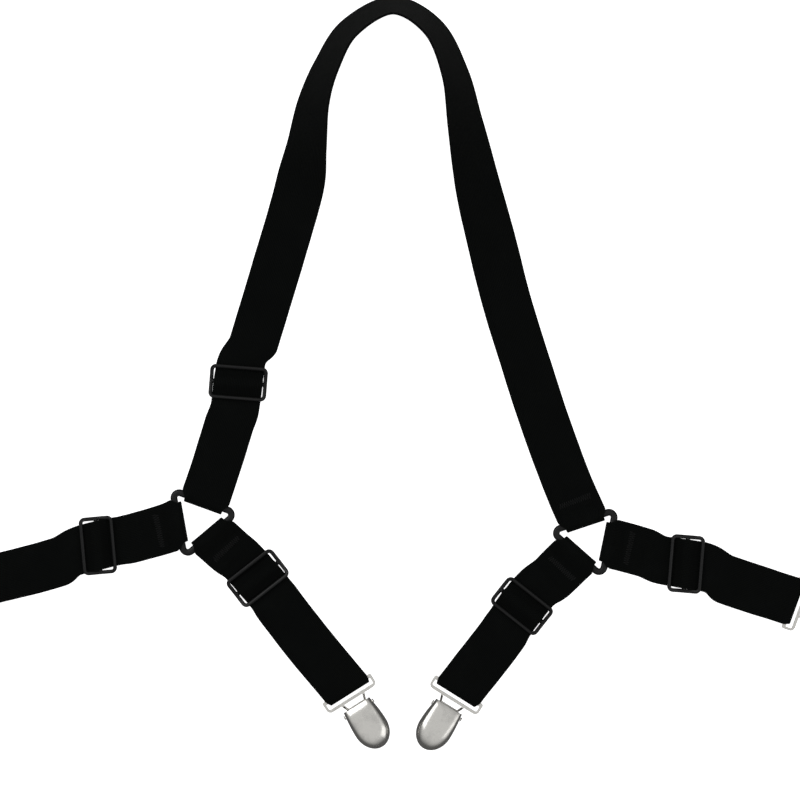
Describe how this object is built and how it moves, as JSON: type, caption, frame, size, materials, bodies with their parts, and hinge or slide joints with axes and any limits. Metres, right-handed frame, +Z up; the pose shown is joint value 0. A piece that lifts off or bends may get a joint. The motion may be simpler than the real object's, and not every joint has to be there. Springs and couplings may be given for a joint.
{
  "type": "suspenders",
  "caption": "Elastic strap set: a long strap in an arch joins two triangle rings, each with two short adjustable arms ending in lever clips.",
  "frame": {"origin": "under the middle of the whole set as it lies flat, on the plane it lies on", "axes": "+X to the right along the overall width, +Y towards the top of the arch, +Z up from the surface that the straps lie on"},
  "size_m": [0.484, 0.3882, 0.0235],
  "materials": {
    "elastic": "ribbed woven elastic, matt black",
    "ring_plastic": "moulded black plastic, satin gloss",
    "adjuster_plastic": "moulded black plastic, satin gloss",
    "nickel_plate": "polished nickel plate on pressed steel",
    "grip_plastic": "ribbed soft plastic"
  },
  "bodies": {
    "long_strap": {"long_strap": "elastic"},
    "long_adjuster": {"long_adjuster": "adjuster_plastic"},
    "long_end": {"long_strap_loop": "elastic"},
    "ring_left": {"ring_left": "ring_plastic"},
    "ring_right": {"ring_right": "ring_plastic"},
    "left_outer_arm": {"left_outer_strap": "elastic"},
    "left_outer_adjuster": {"left_outer_adjuster": "adjuster_plastic"},
    "left_outer_end": {"left_outer_strap_loop": "elastic"},
    "left_outer_clip": {"left_outer_clip_frame": "nickel_plate", "left_outer_clip_pin": "nickel_plate", "left_outer_grip_pad": "grip_plastic"},
    "left_outer_jaw": {"left_outer_clip_jaw": "nickel_plate"},
    "left_outer_lever": {"left_outer_clip_lever": "nickel_plate"},
    "left_inner_arm": {"left_inner_strap": "elastic"},
    "left_inner_adjuster": {"left_inner_adjuster": "adjuster_plastic"},
    "left_inner_end": {"left_inner_strap_loop": "elastic"},
    "left_inner_clip": {"left_inner_clip_frame": "nickel_plate", "left_inner_clip_pin": "nickel_plate", "left_inner_grip_pad": "grip_plastic"},
    "left_inner_jaw": {"left_inner_clip_jaw": "nickel_plate"},
    "left_inner_lever": {"left_inner_clip_lever": "nickel_plate"},
    "right_inner_arm": {"right_inner_strap": "elastic"},
    "right_inner_adjuster": {"right_inner_adjuster": "adjuster_plastic"},
    "right_inner_end": {"right_inner_strap_loop": "elastic"},
    "right_inner_clip": {"right_inner_clip_frame": "nickel_plate", "right_inner_clip_pin": "nickel_plate", "right_inner_grip_pad": "grip_plastic"},
    "right_inner_jaw": {"right_inner_clip_jaw": "nickel_plate"},
    "right_inner_lever": {"right_inner_clip_lever": "nickel_plate"},
    "right_outer_arm": {"right_outer_strap": "elastic"},
    "right_outer_adjuster": {"right_outer_adjuster": "adjuster_plastic"},
    "right_outer_end": {"right_outer_strap_loop": "elastic"},
    "right_outer_clip": {"right_outer_clip_frame": "nickel_plate", "right_outer_clip_pin": "nickel_plate", "right_outer_grip_pad": "grip_plastic"},
    "right_outer_jaw": {"right_outer_clip_jaw": "nickel_plate"},
    "right_outer_lever": {"right_outer_clip_lever": "nickel_plate"}
  },
  "joints": [
    {"name": "ring_right_fold", "type": "hinge", "parent": "long_strap", "child": "ring_right", "pos_m": [0.10162, -0.07588, 0.00352], "axis": [-0.9483, -0.3173, 0], "range_deg": [0, 60]},
    {"name": "long_adjust", "type": "slide", "parent": "long_strap", "child": "long_adjuster", "axis": [-0.24, -0.9708, 0], "range_m": [-0.03, 0.04], "deforming": ["long_strap", "long_strap_loop"]},
    {"name": "long_takeup", "type": "slide", "parent": "long_adjuster", "child": "long_end", "axis": [-0.24, -0.9708, 0], "range_m": [-0.02, 0.015]},
    {"name": "ring_left_fold", "type": "hinge", "parent": "long_end", "child": "ring_left", "pos_m": [-0.09334, -0.06617, 0.00352], "axis": [-0.9403, 0.3404, 0], "range_deg": [0, 60]},
    {"name": "left_outer_fold", "type": "hinge", "parent": "ring_left", "child": "left_outer_arm", "pos_m": [-0.10672, -0.07743, 0.00352], "axis": [-0.1754, 0.9845, 0], "range_deg": [0, 75]},
    {"name": "left_outer_adjust", "type": "slide", "parent": "left_outer_arm", "child": "left_outer_adjuster", "axis": [-0.9838, -0.1793, 0], "range_m": [-0.012, 0.03], "deforming": ["left_outer_strap", "left_outer_strap_loop"]},
    {"name": "left_outer_takeup", "type": "slide", "parent": "left_outer_adjuster", "child": "left_outer_end", "axis": [-0.9838, -0.1793, 0], "range_m": [-0.015, 0.006]},
    {"name": "left_outer_clip_swing", "type": "hinge", "parent": "left_outer_end", "child": "left_outer_clip", "pos_m": [-0.20898, -0.10816, 0.00265], "axis": [-0.3173, 0.9483, 0], "range_deg": [0, 90]},
    {"name": "left_outer_lever_open", "type": "hinge", "parent": "left_outer_clip", "child": "left_outer_lever", "pos_m": [-0.21988, -0.11181, 0.0049], "axis": [-0.3173, 0.9483, 0], "range_deg": [0, 80]},
    {"name": "left_outer_jaw_open", "type": "hinge", "parent": "left_outer_clip", "child": "left_outer_jaw", "pos_m": [-0.21988, -0.11181, 0.0049], "axis": [-0.3173, 0.9483, 0], "range_deg": [0, 16]},
    {"name": "left_inner_fold", "type": "hinge", "parent": "ring_left", "child": "left_inner_arm", "pos_m": [-0.09027, -0.08339, 0.00352], "axis": [-0.7649, -0.6441, 0], "range_deg": [0, 75]},
    {"name": "left_inner_adjust", "type": "slide", "parent": "left_inner_arm", "child": "left_inner_adjuster", "axis": [0.6284, -0.7779, 0], "range_m": [-0.004, 0.03], "deforming": ["left_inner_strap", "left_inner_strap_loop"]},
    {"name": "left_inner_takeup", "type": "slide", "parent": "left_inner_adjuster", "child": "left_inner_end", "axis": [0.6284, -0.7779, 0], "range_m": [-0.015, 0.002]},
    {"name": "left_inner_clip_swing", "type": "hinge", "parent": "left_inner_end", "child": "left_inner_clip", "pos_m": [-0.01998, -0.16311, 0.00265], "axis": [-0.8462, -0.5329, 0], "range_deg": [0, 90]},
    {"name": "left_inner_lever_open", "type": "hinge", "parent": "left_inner_clip", "child": "left_inner_lever", "pos_m": [-0.01385, -0.17284, 0.0049], "axis": [-0.8462, -0.5329, 0], "range_deg": [0, 80]},
    {"name": "left_inner_jaw_open", "type": "hinge", "parent": "left_inner_clip", "child": "left_inner_jaw", "pos_m": [-0.01385, -0.17284, 0.0049], "axis": [-0.8462, -0.5329, 0], "range_deg": [0, 16]},
    {"name": "right_inner_fold", "type": "hinge", "parent": "ring_right", "child": "right_inner_arm", "pos_m": [0.09813, -0.09303, 0.00352], "axis": [-0.749, 0.6626, 0], "range_deg": [0, 75]},
    {"name": "right_inner_adjust", "type": "slide", "parent": "right_inner_arm", "child": "right_inner_adjuster", "axis": [-0.6565, -0.7543, 0], "range_m": [-0.009, 0.024], "deforming": ["right_inner_strap", "right_inner_strap_loop"]},
    {"name": "right_inner_takeup", "type": "slide", "parent": "right_inner_adjuster", "child": "right_inner_end", "axis": [-0.6565, -0.7543, 0], "range_m": [-0.012, 0.0045]},
    {"name": "right_inner_clip_swing", "type": "hinge", "parent": "right_inner_end", "child": "right_inner_clip", "pos_m": [0.03732, -0.16386, 0.00265], "axis": [-0.848, 0.5299, 0], "range_deg": [0, 90]},
    {"name": "right_inner_lever_open", "type": "hinge", "parent": "right_inner_clip", "child": "right_inner_lever", "pos_m": [0.03123, -0.17362, 0.0049], "axis": [-0.848, 0.5299, 0], "range_deg": [0, 80]},
    {"name": "right_inner_jaw_open", "type": "hinge", "parent": "right_inner_clip", "child": "right_inner_jaw", "pos_m": [0.03123, -0.17362, 0.0049], "axis": [-0.848, 0.5299, 0], "range_deg": [0, 16]},
    {"name": "right_outer_fold", "type": "hinge", "parent": "ring_right", "child": "right_outer_arm", "pos_m": [0.11472, -0.08748, 0.00352], "axis": [-0.1994, -0.9799, 0], "range_deg": [0, 75]},
    {"name": "right_outer_adjust", "type": "slide", "parent": "right_outer_arm", "child": "right_outer_adjuster", "axis": [0.9692, -0.2463, 0], "range_m": [-0.011, 0.028], "deforming": ["right_outer_strap", "right_outer_strap_loop"]},
    {"name": "right_outer_takeup", "type": "slide", "parent": "right_outer_adjuster", "child": "right_outer_end", "axis": [0.9692, -0.2463, 0], "range_m": [-0.014, 0.0055]},
    {"name": "right_outer_clip_swing", "type": "hinge", "parent": "right_outer_end", "child": "right_outer_clip", "pos_m": [0.20922, -0.11756, 0.00265], "axis": [-0.342, -0.9397, 0], "range_deg": [0, 90]},
    {"name": "right_outer_lever_open", "type": "hinge", "parent": "right_outer_clip", "child": "right_outer_lever", "pos_m": [0.22003, -0.1215, 0.0049], "axis": [-0.342, -0.9397, 0], "range_deg": [0, 80]},
    {"name": "right_outer_jaw_open", "type": "hinge", "parent": "right_outer_clip", "child": "right_outer_jaw", "pos_m": [0.22003, -0.1215, 0.0049], "axis": [-0.342, -0.9397, 0], "range_deg": [0, 16]}
  ],
  "couplings": [
    {"joint": "long_takeup", "follows": "long_adjust", "ratio": -0.5},
    {"joint": "left_outer_takeup", "follows": "left_outer_adjust", "ratio": -0.5},
    {"joint": "left_outer_jaw_open", "follows": "left_outer_lever_open", "ratio": 0.2},
    {"joint": "left_inner_takeup", "follows": "left_inner_adjust", "ratio": -0.5},
    {"joint": "left_inner_jaw_open", "follows": "left_inner_lever_open", "ratio": 0.2},
    {"joint": "right_inner_takeup", "follows": "right_inner_adjust", "ratio": -0.5},
    {"joint": "right_inner_jaw_open", "follows": "right_inner_lever_open", "ratio": 0.2},
    {"joint": "right_outer_takeup", "follows": "right_outer_adjust", "ratio": -0.5},
    {"joint": "right_outer_jaw_open", "follows": "right_outer_lever_open", "ratio": 0.2}
  ]
}
